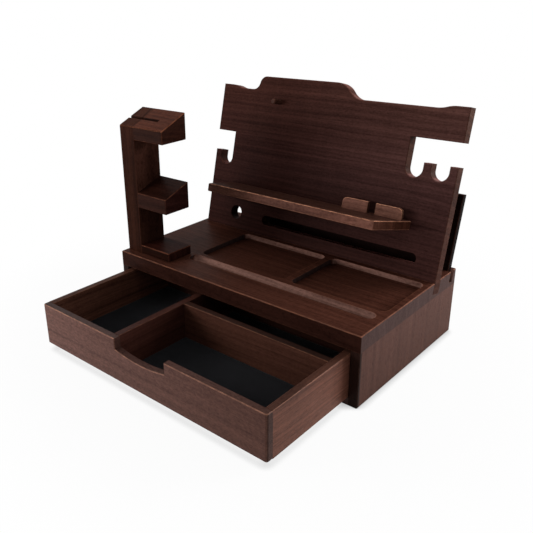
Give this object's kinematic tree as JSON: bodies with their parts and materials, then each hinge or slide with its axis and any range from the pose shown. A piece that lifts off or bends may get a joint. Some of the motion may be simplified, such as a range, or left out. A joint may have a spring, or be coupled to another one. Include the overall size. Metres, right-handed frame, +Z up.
{
  "type": "valet box with drawer",
  "caption": "Wooden valet box: case with one drawer, trays and a pen groove on top, a leaning back panel with arms and notches, a phone shelf and a watch stand.",
  "frame": {"origin": "centre of the case's bottom face, on the table", "axes": "+X along the front to the right, +Y from front to back, +Z up"},
  "size_m": [0.34, 0.3432, 0.2735],
  "materials": {
    "walnut": "satin",
    "felt": "matt",
    "dowel": "matt"
  },
  "bodies": {
    "case": {"case_back": "walnut", "case_bottom": "walnut", "case_dowels": "dowel", "case_left_side": "walnut", "case_right_side": "walnut", "case_top_slab": "walnut", "main_panel": "walnut", "phone_lip_left": "walnut", "phone_lip_right": "walnut", "phone_shelf": "walnut", "rear_panel": "walnut", "ring_peg": "walnut", "shelf_dowels": "dowel", "watch_arm_dowels": "dowel", "watch_foot": "walnut", "watch_lower_arm": "walnut", "watch_post": "walnut", "watch_post_dowels": "dowel", "watch_upper_arm": "walnut"},
    "drawer": {"drawer_back": "walnut", "drawer_back_dowels": "dowel", "drawer_bottom": "walnut", "drawer_cross_divider": "walnut", "drawer_front": "walnut", "drawer_front_dowels": "dowel", "drawer_left_side": "walnut", "drawer_liner_front": "felt", "drawer_liner_left": "felt", "drawer_liner_rear": "felt", "drawer_long_divider": "walnut", "drawer_right_side": "walnut"}
  },
  "joints": [
    {"name": "drawer_slide", "type": "slide", "parent": "case", "child": "drawer", "axis": [0, -1, 0], "range_m": [-0.1255, 0.03]}
  ]
}
